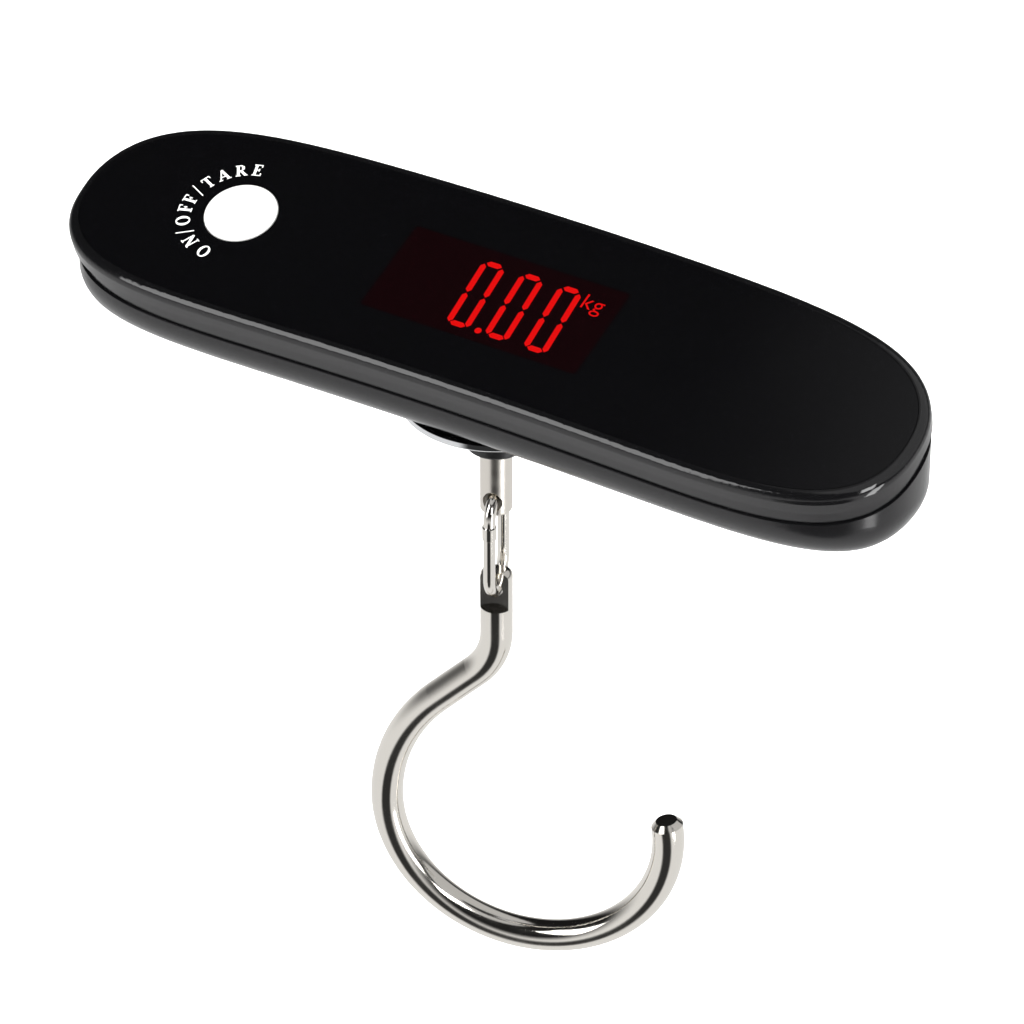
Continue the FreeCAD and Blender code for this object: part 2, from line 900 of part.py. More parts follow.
def make_battery_contacts():
    """Spring-steel strips at both ends of each cell."""
    strips = []
    bottom = floor_top + contact_lift
    for y, z in cell_centres():
        for x in (cell_left - spring_length - contact_thickness, cell_left + cell_length):
            strip = box(
                x,
                x + contact_thickness,
                y - contact_half_width,
                y + contact_half_width,
                bottom,
                bottom + contact_height,
            )
            strips.append(strip)
    return strips


def make_battery_springs():
    """A conical spring at the flat end of each cell."""
    springs = []
    step = (spring_length - 2 * spring_wire) / (spring_turns - 1)
    for index, (y, z) in enumerate(cell_centres()):
        start = cell_left - spring_length if index == 0 else cell_left + cell_length
        side = 1 if index == 0 else -1
        rings = []
        for turn in range(spring_turns):
            x = start + side * (spring_wire + step * turn)
            radius = spring_radius - spring_taper * turn
            rings.append(Part.makeTorus(radius, spring_wire, Vector(x, y, z), Vector(1, 0, 0)))
        springs.append(rings[0].multiFuse(rings[1:]))
    return springs


def lead(points):
    """A flexible lead: straight runs joined by tangent arcs."""
    edges = []
    at = points[0]
    for i in range(1, len(points) - 1):
        back = (points[i - 1] - points[i]).normalize()
        ahead = (points[i + 1] - points[i]).normalize()
        turn = math.pi - back.getAngle(ahead)
        reach = lead_bend * math.tan(turn / 2)
        first = points[i] + back * reach
        last = points[i] + ahead * reach
        inward = (back + ahead).normalize()
        hub = lead_bend / math.cos(turn / 2)
        middle = points[i] + inward * (hub - lead_bend)
        edges.append(Part.LineSegment(at, first).toShape())
        edges.append(Part.Arc(first, middle, last).toShape())
        at = last
    edges.append(Part.LineSegment(at, points[-1]).toShape())
    return swept(edges, lead_radius, points[0], points[1] - points[0])


def under_board(x, y):
    """The place just under the leaning board where a lead's square end meets it."""
    tilt = math.radians(face_tilt)
    depth = -(board_depth + board_thickness)
    across = (y + face_setback + depth * math.sin(tilt)) / math.cos(tilt)
    meeting = FACE.multVec(Vector(x - handle_shift, across, depth))
    return meeting - Vector(0, 0, lead_radius * math.tan(tilt))


def make_gauge_leads():
    leads = []
    for i in range(4):
        y = gauge_lead_y + gauge_lead_step * i
        start = Vector(-beam_neck_x, y, beam_top + gauge_thickness + lead_radius)
        corner = Vector(gauge_lead_rise_x - gauge_lead_step * i, y, start.z)
        leads.append(lead([start, corner, under_board(corner.x, y)]))
    return leads


def make_battery_leads():
    leads = []
    for y, z in cell_centres():
        x = cell_left - spring_length - contact_thickness
        start = Vector(x, y, floor_top + contact_lift + contact_height - terminal_drop)
        corner = Vector(x - 2 * lead_bend, y, start.z)
        leads.append(lead([start, corner, under_board(corner.x, y)]))
    return leads


save(make_face_panel(), "face_panel")
save(make_display_window(), "display_window")
save(make_panel_gasket(), "panel_gasket")
save(make_bezel(), "bezel")
save(make_upper_casing(), "upper_casing")
save(make_lower_casing(), "lower_casing")
save(make_battery_door(), "battery_door")
save_group(make_casing_screws(), "casing_screws")
save(make_tare_button(), "tare_button")
save(make_switch_plunger(), "switch_plunger")
save(make_tact_switch(), "tact_switch")
save(make_main_board(), "main_board")
save_group(make_board_screws(), "board_screws")
save_group(make_board_parts(), "board_parts")
save(make_led_display(), "led_display")
save_group(make_led_segments(), "led_segments")
save(make_load_cell(), "load_cell")
save(make_beam_sleeve(), "beam_sleeve")
save_group(make_strain_gauges(), "strain_gauges")
save_group(make_load_cell_screws(), "load_cell_screws")
save(make_thrust_washer(), "thrust_washer")
save(make_hook_shaft(), "hook_shaft")
save(make_shaft_nut(), "shaft_nut")
save(make_guide_bush(), "guide_bush")
save(make_escutcheon(), "escutcheon")
save_group(make_escutcheon_screws(), "escutcheon_screws")
save(make_chain_link(), "chain_link")
save(make_hook(), "hook")
save_group(make_battery_cells(), "battery_cells")
save_group(make_battery_contacts(), "battery_contacts")
save_group(make_battery_springs(), "battery_springs")
save_group(make_gauge_leads(), "gauge_leads")
save_group(make_battery_leads(), "battery_leads")
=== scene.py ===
import json
import math

import bpy
from bpy.props import FloatProperty, PointerProperty, StringProperty
from mathutils import Matrix, Vector


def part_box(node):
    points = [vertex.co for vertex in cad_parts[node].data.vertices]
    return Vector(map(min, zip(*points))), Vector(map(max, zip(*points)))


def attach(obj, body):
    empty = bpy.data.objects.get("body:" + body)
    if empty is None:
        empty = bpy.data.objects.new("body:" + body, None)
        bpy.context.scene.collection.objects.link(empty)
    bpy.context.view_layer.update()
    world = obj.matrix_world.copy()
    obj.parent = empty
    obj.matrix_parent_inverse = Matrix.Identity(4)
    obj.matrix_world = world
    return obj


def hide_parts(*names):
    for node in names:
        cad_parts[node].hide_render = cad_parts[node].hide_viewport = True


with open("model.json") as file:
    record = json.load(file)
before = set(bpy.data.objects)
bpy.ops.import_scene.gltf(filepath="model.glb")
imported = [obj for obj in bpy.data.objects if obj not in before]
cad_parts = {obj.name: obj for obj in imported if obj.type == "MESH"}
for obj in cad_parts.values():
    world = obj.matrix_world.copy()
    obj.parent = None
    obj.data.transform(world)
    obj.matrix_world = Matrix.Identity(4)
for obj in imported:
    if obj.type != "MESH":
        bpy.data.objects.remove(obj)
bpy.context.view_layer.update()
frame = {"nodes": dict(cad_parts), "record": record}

bl_info = {
    "name": "Luggage scale",
    "version": (1, 0, 0),
    "blender": (4, 5, 0),
    "location": "3D View > Sidebar > Luggage Scale",
    "description": "Finishes a hand-held luggage scale: its display, printing, surfaces and studio",
    "category": "Object",
}

MM = 0.001
NODES = frame["nodes"]
PRESS_AXIS = next(j["axis"] for j in frame["record"]["behaviour"]["joints"] if j["name"] == "button_press")
FACE_TILT = math.atan2(PRESS_AXIS[1], -PRESS_AXIS[2])


def box_centre(node):
    low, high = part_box(node)
    return (Vector(low) + Vector(high)) / 2


# from the middle of the window's pane to the middle of the face, in the face's own axes
WINDOW_CENTRE_TO_FACE_CENTRE = Vector((-0.25, 0.6, 0.8)) * MM


# ---- sizes and colours ----------------------------------------------------------------------------
def length(name, description, default):
    return FloatProperty(
        name=name, description=description, default=default * MM, min=0.0, unit="LENGTH", precision=5
    )


def angle(name, description, default):
    return FloatProperty(
        name=name, description=description, default=math.radians(default), subtype="ANGLE"
    )


def colour(name, description, default):
    return StringProperty(name=name, description=description, default=default)


class ScaleSizes(bpy.types.PropertyGroup):
    """Sizes of the display's digits and of the printing on the face"""

    digit_height: length("Digit height", "Height of one lit digit", 14.0)
    digit_width: length("Digit width", "Width of one lit digit", 4.3)
    digit_pitch: length("Digit pitch", "Distance from one digit to the next", 7.05)
    digit_lean: angle("Digit lean", "How far the digits lean from upright", 3.6)
    bar_width: length("Bar width", "Width of one lit bar", 1.0)
    bar_gap: length("Bar gap", "Dark gap between two lit bars", 0.3)
    point_diameter: length("Point diameter", "Diameter of the decimal point", 1.15)
    letter_height: length("Letter height", "Height of the capitals round the button", 2.35)
    letter_radius: length("Letter radius", "From the button's axis to the middle of the capitals", 9.5)
    unit_height: length("Unit height", "Height of the font of the unit sign", 4.3)
    print_height: length("Print height", "How far the ink stands above the face", 0.03)


class ScaleColours(bpy.types.PropertyGroup):
    """Colours as sRGB hex values"""

    panel: colour("Panel", "Black of the face panel", "050506")
    bezel: colour("Bezel", "Black of the bezel", "0B0B0C")
    casing: colour("Casing", "Black of the casing", "101011")
    window: colour("Window", "Dark red of the display window", "0A0203")
    lit: colour("Lit display", "Red of the lit bars", "DC0404")
    ink: colour("Ink", "White of the printed capitals", "F2F2F0")
    silver: colour("Button", "Silver of the button", "E6E6E3")
    nickel: colour("Nickel", "Nickel of the hook and the chain link", "E2DED7")
    satin_nickel: colour("Satin nickel", "Nickel of the shaft", "DDD8D0")
    chrome: colour("Chrome", "Chrome of the plate under the handle", "DCDDDF")
    bush: colour("Bush", "Black of the guide bush", "0C0C0D")
    stage: colour("Stage", "White of the floor and backdrop", "FBFBFB")


def sizes():
    return bpy.context.scene.luggage_scale_sizes


def colours():
    return bpy.context.scene.luggage_scale_colours


# ---- materials ------------------------------------------------------------------------------------
def linear(hex_value):
    """A colour's sRGB hex value as linear red, green, blue and alpha."""
    parts = [int(hex_value[i : i + 2], 16) / 255 for i in (0, 2, 4)]
    turned = [p / 12.92 if p <= 0.04045 else ((p + 0.055) / 1.055) ** 2.4 for p in parts]
    return (*turned, 1.0)


def add_node(tree, kind, inputs=None, links=None, **settings):
    """Adds one node, sets its values and links its sockets. links maps an input to (node, output)."""
    made = tree.nodes.new(kind)
    for name, value in settings.items():
        setattr(made, name, value)
    for name, value in (inputs or {}).items():
        made.inputs[name].default_value = value
    for name, (source, output) in (links or {}).items():
        tree.links.new(source.outputs[output], made.inputs[name])
    return made


# the fine grain, and the cloud a dozen grains wide that varies roughness and colour
GRAIN_DETAIL = 4.0
GRAIN_ROUGHNESS = 0.55
CLOUD_GRAINS = 12
CLOUD_DETAIL = 3.0
CLOUD_LOW = 0.3
CLOUD_HIGH = 0.7
LEAST_ROUGHNESS = 0.01


def surface(name, hex_value, roughness, grain_mm, bump_mm, roughness_spread=0.0, shade=0.0,
            stretch=(1.0, 1.0, 1.0), **shader):
    """A surface with fine grain in its height, roughness and colour, at a real size."""
    material = bpy.data.materials.new(name)
    material.use_nodes = True
    tree = material.node_tree
    tree.nodes.clear()
    place = add_node(tree, "ShaderNodeTexCoord")
    scaled = add_node(
        tree, "ShaderNodeMapping", {"Scale": stretch}, {"Vector": (place, "Object")}
    )
    grain = add_node(
        tree,
        "ShaderNodeTexNoise",
        {"Scale": 1 / (grain_mm * MM), "Detail": GRAIN_DETAIL, "Roughness": GRAIN_ROUGHNESS},
        {"Vector": (scaled, "Vector")},
    )
    cloud = add_node(
        tree,
        "ShaderNodeTexNoise",
        {"Scale": 1 / (CLOUD_GRAINS * grain_mm * MM), "Detail": CLOUD_DETAIL},
        {"Vector": (scaled, "Vector")},
    )
    varied = add_node(
        tree,
        "ShaderNodeMapRange",
        {
            "From Min": CLOUD_LOW,
            "From Max": CLOUD_HIGH,
            "To Min": max(LEAST_ROUGHNESS, roughness - roughness_spread),
            "To Max": roughness + roughness_spread,
        },
        {"Value": (cloud, "Fac")},
    )
    base = linear(hex_value)
    darker = tuple(c * (1 - shade) for c in base[:3]) + (1.0,)
    tint = add_node(tree, "ShaderNodeMix", None, {"Factor": (cloud, "Fac")}, data_type="RGBA")
    for socket in tint.inputs:
        if socket.type == "RGBA":
            socket.default_value = darker if socket.name == "A" else base
    height = add_node(
        tree,
        "ShaderNodeBump",
        {"Strength": 1.0, "Distance": bump_mm * MM},
        {"Height": (grain, "Fac")},
    )
    coloured = next(s for s in tint.outputs if s.type == "RGBA")
    shader_node = add_node(
        tree,
        "ShaderNodeBsdfPrincipled",
        shader,
        {"Roughness": (varied, "Result"), "Normal": (height, "Normal")},
    )
    tree.links.new(coloured, shader_node.inputs["Base Color"])
    add_node(tree, "ShaderNodeOutputMaterial", None, {"Surface": (shader_node, "BSDF")})
    return material


def dress(material, *nodes):
    """Gives CAD nodes a finer material."""
    for name in nodes:
        mesh = NODES[name].data
        mesh.materials.clear()
        mesh.materials.append(material)


# ---- modelling helpers ----------------------------------------------------------------------------
def deselect_all():
    if bpy.context.object and bpy.context.object.mode != "OBJECT":
        bpy.ops.object.mode_set(mode="OBJECT")
    bpy.ops.object.select_all(action="DESELECT")


def select_faces(obj, test):
    """In edit mode, selects only the faces that pass the test."""
    bpy.ops.mesh.select_all(action="DESELECT")
    bpy.ops.object.mode_set(mode="OBJECT")
    for face in obj.data.polygons:
        face.select = test(face)
    bpy.ops.object.mode_set(mode="EDIT")


def place(obj, matrix):
    """Puts the object's shape where the matrix says and leaves the object itself at the origin."""
    deselect_all()
    obj.matrix_world = matrix @ obj.matrix_world
    obj.select_set(True)
    bpy.context.view_layer.objects.active = obj
    bpy.ops.object.transform_apply(location=True, rotation=True, scale=True)


def joined(parts, name):
    deselect_all()
    for part in parts:
        part.select_set(True)
    bpy.context.view_layer.objects.active = parts[0]
    if len(parts) > 1:
        bpy.ops.object.join()
    whole = bpy.context.view_layer.objects.active
    whole.name = name
    whole.data.name = name
    return whole


def face_matrix():
    """From the face's own plane, x along the handle and y up the display, to the row frame."""
    turn = Matrix.Rotation(FACE_TILT, 4, "X")
    middle = box_centre("display_window") + turn @ WINDOW_CENTRE_TO_FACE_CENTRE
    return Matrix.Translation(middle) @ turn


# how wide a bar's point is, as a share of the bar, and how squarely an end's face looks along it
POINT_WIDTH = 0.06
END_FACING = 0.9
OVAL_STEPS = 48


def bar(width, span, height, start, turn, pointed):
    """One flat bar from start, in the direction of turn. Its ends are pointed or square."""
    deselect_all()
    bpy.ops.mesh.primitive_cube_add(size=1)
    obj = bpy.context.object
    bpy.ops.object.mode_set(mode="EDIT")
    straight = span - width if pointed else span
    bpy.ops.transform.resize(value=(straight, width, height))
    if pointed:
        for side in (-1, 1):
            select_faces(obj, lambda face: face.normal.x * side > END_FACING)
            bpy.ops.mesh.extrude_region_move(
                TRANSFORM_OT_translate={"value": (side * width / 2, 0, 0)}
            )
            bpy.ops.transform.resize(value=(1, POINT_WIDTH, 1))
    bpy.ops.object.mode_set(mode="OBJECT")
    along = Matrix.Rotation(turn, 4, "Z")
    shift = Matrix.Translation((start[0], start[1], 0))
    place(obj, shift @ along @ Matrix.Translation((span / 2, 0, height / 2)))
    return obj


def stroke(x0, y0, x1, y1, width, unit, height):
    """A bar between two points of a letter, in shares of the letter's height."""
    run = Vector((x1 - x0, y1 - y0))
    heading = math.atan2(run.y, run.x)
    return bar(width * unit, run.length * unit, height, (x0 * unit, y0 * unit), heading, False)


def ring(centre_x, centre_y, half_width, half_height, side, cap, height):
    """The letter O: an oval ring that is thick at its sides and thin at its top and foot."""
    deselect_all()
    bpy.ops.mesh.primitive_circle_add(vertices=OVAL_STEPS, radius=1, fill_type="NGON")
    obj = bpy.context.object
    bpy.ops.object.mode_set(mode="EDIT")
    bpy.ops.transform.resize(value=(half_width, half_height, 1))
    bpy.ops.mesh.select_all(action="SELECT")
    bpy.ops.mesh.inset(thickness=cap, depth=0)
    narrowing = (half_width - side) / (half_width - cap)
    bpy.ops.transform.resize(value=(narrowing, 1, 1))
    bpy.ops.mesh.delete(type="FACE")
    bpy.ops.mesh.select_all(action="SELECT")
    bpy.ops.mesh.extrude_region_move(TRANSFORM_OT_translate={"value": (0, 0, height)})
    bpy.ops.mesh.select_all(action="SELECT")
    bpy.ops.mesh.normals_make_consistent(inside=False)
    bpy.ops.object.mode_set(mode="OBJECT")
    place(obj, Matrix.Translation((centre_x, centre_y, 0)))
    return obj


# ---- lettering ------------------------------------------------------------------------------------
THICK = 0.18
THIN = 0.085
SERIF = 0.065
O_HALF_WIDTH = 0.42
O_HALF_HEIGHT = 0.51

# each letter: its width, then its strokes as (x0, y0, x1, y1, width), all in shares of its height
LETTERS = {
    "N": (0.86, [
        (0.14, 0.03, 0.14, 0.97, THIN), (0.72, 0.03, 0.72, 0.97, THIN), (0.14, 0.95, 0.72, 0.05, THICK),
        (0.0, 0.03, 0.28, 0.03, SERIF), (0.0, 0.97, 0.2, 0.97, SERIF), (0.58, 0.97, 0.86, 0.97, SERIF),
    ]),
    "F": (0.66, [
        (0.2, 0.0, 0.2, 1.0, THICK), (0.02, 0.97, 0.62, 0.97, SERIF), (0.2, 0.52, 0.46, 0.52, SERIF),
        (0.03, 0.03, 0.38, 0.03, SERIF), (0.6, 1.0, 0.6, 0.76, SERIF), (0.46, 0.64, 0.46, 0.4, SERIF),
    ]),
    "T": (0.74, [
        (0.37, 0.0, 0.37, 1.0, THICK), (0.02, 0.97, 0.72, 0.97, SERIF), (0.2, 0.03, 0.54, 0.03, SERIF),
        (0.05, 1.0, 0.05, 0.76, SERIF), (0.69, 1.0, 0.69, 0.76, SERIF),
    ]),
    "A": (0.86, [
        (0.12, 0.03, 0.43, 0.98, THIN), (0.42, 0.98, 0.72, 0.03, THICK), (0.22, 0.32, 0.6, 0.32, SERIF),
        (0.0, 0.03, 0.26, 0.03, SERIF), (0.56, 0.03, 0.88, 0.03, SERIF),
    ]),
    "R": (0.82, [
        (0.2, 0.0, 0.2, 1.0, THICK), (0.02, 0.97, 0.46, 0.97, SERIF), (0.2, 0.5, 0.46, 0.5, SERIF),
        (0.44, 0.96, 0.58, 0.84, THIN), (0.56, 0.88, 0.56, 0.6, THICK), (0.58, 0.63, 0.44, 0.51, THIN),
        (0.38, 0.5, 0.7, 0.03, THICK), (0.02, 0.03, 0.36, 0.03, SERIF), (0.6, 0.03, 0.84, 0.03, SERIF),
    ]),
    "E": (0.68, [
        (0.2, 0.0, 0.2, 1.0, THICK), (0.02, 0.97, 0.62, 0.97, SERIF), (0.2, 0.52, 0.46, 0.52, SERIF),
        (0.02, 0.03, 0.64, 0.03, SERIF), (0.6, 1.0, 0.6, 0.78, SERIF), (0.46, 0.64, 0.46, 0.4, SERIF),
        (0.63, 0.0, 0.63, 0.24, SERIF),
    ]),
    "/": (0.4, [(0.04, -0.12, 0.36, 1.12, 0.07)]),
}

# the capitals round the button, each with its angle in degrees about the button's axis
RING_TEXT = [
    ("O", 262), ("N", 241), ("/", 227), ("O", 211.5), ("F", 195), ("F", 182.5),
    ("/", 170), ("T", 156), ("A", 139.5), ("R", 121.5), ("E", 105),
]


def letter(sign, unit, height):
    if sign == "O":
        half = O_HALF_WIDTH * unit
        made = ring(half, unit / 2, half, O_HALF_HEIGHT * unit, THICK * unit, THIN * unit, height)
        return made, 2 * half
    width, strokes = LETTERS[sign]
    parts = [stroke(*line, unit, height) for line in strokes]
    return joined(parts, "letter"), width * unit


# ---- pieces ---------------------------------------------------------------------------------------
# places on the face, in mm from its middle
DIGIT_TOP_LEFT = (-5.6, 6.1)
POINT_PLACE = (1.15, -7.4)
UNIT_PLACE = (13.4, 3.0)

DIGIT_COUNT = 3
POINT_STEPS = 40
# the unit sign's strokes are drawn in by this much, and its letters spaced out by this share
UNIT_THINNING_MM = 0.03
UNIT_SPACING = 1.05
LIT_GLOW = 1.0
# the ink's glow is painted light: the print is no lamp, but glows a little to stay bright
INK_PAINTED_GLOW = 0.18


class LUGGAGESCALE_OT_digits(bpy.types.Operator):
    """Makes the lit zeros of the display, bar by bar, and the decimal point"""

    bl_idname = "luggage_scale.digits"
    bl_label = "Lit digits"

    def execute(self, context):
        size = sizes()
        lean = size.digit_lean
        height = size.print_height
        width = size.bar_width
        half = size.digit_height / 2
        left = DIGIT_TOP_LEFT[0] * MM
        top = DIGIT_TOP_LEFT[1] * MM
        upright = half / math.cos(lean) - width / 2 - size.bar_gap
        level = size.digit_width - width - 2 * size.bar_gap
        parts = []
        for index in range(DIGIT_COUNT):
            x = left + index * size.digit_pitch + width / 2
            for y in (top - width / 2, top - 2 * half + width / 2):
                start = (x + (top - y) * math.tan(lean) + size.bar_gap, y)
                parts.append(bar(width, level, height, start, 0.0, True))
            for side in (0, size.digit_width - width):
                for row in (0, 1):
                    y = top - width / 2 - size.bar_gap - row * (half - width / 2)
                    start = (x + side + (top - y) * math.tan(lean), y)
                    parts.append(bar(width, upright, height, start, lean - math.pi / 2, True))
        bpy.ops.mesh.primitive_cylinder_add(
            vertices=POINT_STEPS, radius=size.point_diameter / 2, depth=height
        )
        point = bpy.context.object
        place(point, Matrix.Translation((POINT_PLACE[0] * MM, POINT_PLACE[1] * MM, height / 2)))
        parts.append(point)
        digits = joined(parts, "lit_digits")
        place(digits, face_matrix())
        digits.data.materials.clear()
        digits.data.materials.append(lit_segment_plastic())
        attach(digits, "casing")
        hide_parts("led_segments")
        return {"FINISHED"}


class LUGGAGESCALE_OT_unit_sign(bpy.types.Operator):
    """Makes the unit sign beside the digits"""

    bl_idname = "luggage_scale.unit_sign"
    bl_label = "Unit sign"

    def execute(self, context):
        size = sizes()
        deselect_all()
        bpy.ops.object.text_add()
        sign = bpy.context.object
        sign.data.body = "kg"
        sign.data.size = size.unit_height
        sign.data.extrude = size.print_height / 2
        sign.data.offset = -UNIT_THINNING_MM * MM
        sign.data.space_character = UNIT_SPACING
        bpy.ops.object.convert(target="MESH")
        sign = bpy.context.object
        shift = Matrix.Translation((UNIT_PLACE[0] * MM, UNIT_PLACE[1] * MM, size.print_height / 2))
        place(sign, face_matrix() @ shift)
        sign.name = "unit_sign"
        sign.data.name = "unit_sign"
        sign.data.materials.clear()
        sign.data.materials.append(lit_segment_plastic())
        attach(sign, "casing")
        return {"FINISHED"}


class LUGGAGESCALE_OT_lettering(bpy.types.Operator):
    """Prints the capitals round the button"""

    bl_idname = "luggage_scale.lettering"
    bl_label = "Lettering"

    def execute(self, context):
        size = sizes()
        unit = size.letter_height
        button_x = (face_matrix().inverted() @ box_centre("tare_button")).x
        parts = []
        for sign, degrees in RING_TEXT:
            made, width = letter(sign, unit, size.print_height)
            about = math.radians(degrees)
            middle = Matrix.Translation((-width / 2, -unit / 2, 0))
            out = Matrix.Translation((0, size.letter_radius, 0))
            turn = Matrix.Rotation(about - math.pi / 2, 4, "Z")
            button = Matrix.Translation((button_x, 0, 0))
            place(made, button @ turn @ out @ middle)
            parts.append(made)
        text = joined(parts, "button_lettering")
        place(text, face_matrix())
        text.data.materials.clear()
        # the capitals' ink glows a little: painted light on the print
        text.data.materials.append(silk_screen_ink_painted_glow())
        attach(text, "casing")
        return {"FINISHED"}


def lit_segment_plastic():
    """Diffusing polycarbonate, lit from behind: an even red glow with hardly any shine of its own."""
    found = bpy.data.materials.get("diffusing_polycarbonate_lit")
    if found:
        return found
    lit = linear(colours().lit)
    return surface("diffusing_polycarbonate_lit", "300000", 0.5, 0.2, 0.002,
                   **{"Emission Color": lit, "Emission Strength": LIT_GLOW, "Specular IOR Level": 0.1})


def silk_screen_ink_painted_glow():
    """Silk-screened epoxy ink: flat white with the faint grain of the screen, and a faint glow of painted
    light that keeps the print brighter than the lamps alone make it.
    """
    ink = linear(colours().ink)
    return surface("silk_screened_epoxy_ink_painted_glow", colours().ink, 0.5, 0.12, 0.003, 0.06, 0.04,
                   **{"Emission Color": ink, "Emission Strength": INK_PAINTED_GLOW})


class LUGGAGESCALE_OT_plastics(bpy.types.Operator):
    """Gives the panel, the window, the bezel, the casing and the bush their moulded plastics"""

    bl_idname = "luggage_scale.plastics"
    bl_label = "Plastics"

    def execute(self, context):
        tone = colours()
        # cast acrylic with a polished face: deep black and a nearly sharp reflection
        dress(surface("cast_acrylic_polished", tone.panel, 0.07, 2.5, 0.0004, 0.02,
                      **{"Specular IOR Level": 0.42}), "face_panel")
        dress(surface("tinted_acrylic_polished", tone.window, 0.07, 2.5, 0.0004, 0.02,
                      **{"Specular IOR Level": 0.42}), "display_window")
        # ABS moulded in a polished tool: wet black with a slight orange peel
        dress(surface("abs_moulded_polished", tone.bezel, 0.11, 1.6, 0.0012, 0.03, 0.1,
                      **{"Specular IOR Level": 0.55}), "bezel")
        # ABS moulded in a lapped tool: a softer shine than the bezel's
        dress(surface("abs_moulded_lapped", tone.casing, 0.2, 0.9, 0.002, 0.04, 0.12,
                      **{"Specular IOR Level": 0.42}), "upper_casing", "lower_casing", "battery_door")
        # acetal, turned from rod: dull black with a fine tool mark
        dress(surface("acetal_turned", tone.bush, 0.38, 0.25, 0.004, 0.06, 0.15,
                      stretch=(0.15, 0.15, 1.0)), "guide_bush")
        return {"FINISHED"}


class LUGGAGESCALE_OT_metals(bpy.types.Operator):
    """Gives the button, the shaft, the plate, the chain link and the hook their metal finishes"""

    bl_idname = "luggage_scale.metals"
    bl_label = "Metals"

    def execute(self, context):
        tone = colours()
        # steel wire, bent and nickel plated over a polish: bright, with long faint drawing marks
        dress(surface("steel_nickel_plated_polished", tone.nickel, 0.13, 0.7, 0.003, 0.05, 0.08,
                      **{"Metallic": 1.0}), "hook", "chain_link")
        # steel rod, turned and satin nickel plated: soft bands across the rod
        dress(surface("steel_turned_satin_nickel", tone.satin_nickel, 0.3, 0.3, 0.006, 0.05, 0.08,
                      stretch=(0.1, 0.1, 1.0), **{"Metallic": 1.0}), "hook_shaft")
        # steel plate, pressed and chromed: a cold mirror with a slight ripple from the press
        dress(surface("steel_pressed_chromed", tone.chrome, 0.08, 3.0, 0.02, 0.03, 0.04,
                      **{"Metallic": 1.0}), "escutcheon")
        # ABS, metallised and spun with a fine brush: satin silver with short strokes one way
        dress(surface("abs_metallised_brushed", tone.silver, 0.42, 0.18, 0.006, 0.05, 0.1,
                      stretch=(1.0, 0.12, 0.12), **{"Metallic": 0.15}), "tare_button")
        # steel screws, zinc plated: dull grey
        dress(surface("steel_zinc_plated", "9A9B9C", 0.35, 0.3, 0.004, 0.08, 0.2, **{"Metallic": 1.0}),
              "casing_screws", "board_screws", "load_cell_screws", "escutcheon_screws", "shaft_nut",
              "thrust_washer")
        return {"FINISHED"}


class LUGGAGESCALE_OT_inner_parts(bpy.types.Operator):
    """Gives the parts inside the handle their own finishes"""

    bl_idname = "luggage_scale.inner_parts"
    bl_label = "Inner parts"

    def execute(self, context):
        # each finish: name, colour, roughness, grain and bump in mm, metallic, then the parts
        finishes = [
            ("epoxy_glass_board_masked", "0B5A2C", 0.35, 0.5, 0.004, 0.0, ["main_board"]),
            ("epoxy_potted", "0E0E10", 0.3, 0.6, 0.01, 0.0, ["board_parts"]),
            ("polycarbonate_block_moulded", "17171A", 0.45, 0.4, 0.004, 0.0, ["led_display"]),
            ("nylon_moulded", "1B1B1D", 0.5, 0.3, 0.004, 0.0, ["tact_switch", "switch_plunger"]),
            ("aluminium_milled", "C9CBCE", 0.3, 0.25, 0.006, 1.0, ["load_cell"]),
            ("brass_turned", "C9A25A", 0.25, 0.2, 0.004, 1.0, ["beam_sleeve"]),
            ("polyimide_foil_etched", "B4772A", 0.4, 0.3, 0.003, 0.0, ["strain_gauges"]),
            ("steel_strip_nickel_plated", "C8C5BD", 0.25, 0.4, 0.003, 1.0,
             ["battery_contacts", "battery_springs"]),
            ("shrink_sleeve_printed", "23252B", 0.3, 0.8, 0.004, 0.0, ["battery_cells"]),
            ("pvc_sleeve_extruded", "8C1414", 0.45, 0.3, 0.004, 0.0, ["gauge_leads", "battery_leads"]),
            ("foam_tape_cut", "121212", 0.85, 0.2, 0.02, 0.0, ["panel_gasket"]),
        ]
        spread = 0.05
        shade = 0.12
        for name, tone, roughness, grain, bump, metallic, parts in finishes:
            finish = surface(name, tone, roughness, grain, bump, spread, shade, **{"Metallic": metallic})
            dress(finish, *parts)
        return {"FINISHED"}


# ---- stage ----------------------------------------------------------------------------------------
# the camera's own axes and its place, from the middle of the handle's face
CAMERA_RIGHT = Vector((0.8545, 0.5195, 0.0))
CAMERA_BACK = Vector((0.429, -0.706, 0.5635))
CAMERA_OFFSET_MM = (2.72, -33.96, 942.0)
# half the view's width at six metres from the camera
CAMERA_HALF_FIELD = 0.512 / 6.0
CAMERA_NEAR = 0.01
CAMERA_FAR = 20.0

# the round floor, the curve at its edge and the wall, in metres but for the drop
FLOOR_DROP_MM = 150.0
STAGE_RADIUS = 3.2
STAGE_CORNERS = 96
CURVE_RADIUS = 0.5
CURVE_STEPS = 8
STAGE_WALL = 1.7
BOARD_GLOW = 0.78

# how bright the studio is below and above, and the height over which one turns to the other
LOW_LIGHT = 0.95
CEILING_LIGHT = 0.012
HORIZON = 0.3
# each patch: its direction, the cosines where its edge starts and ends, its value outside and inside
OVERHEAD_GLOW = ((0.42, 0.30, 0.86), 0.655, 0.72, 0.0, 0.6)
DARK_CARD = ((0.30, -0.76, -0.56), 0.86, 0.95, 1.0, 0.04)
LIGHT_TARGET = Vector((0, 0, -0.02))

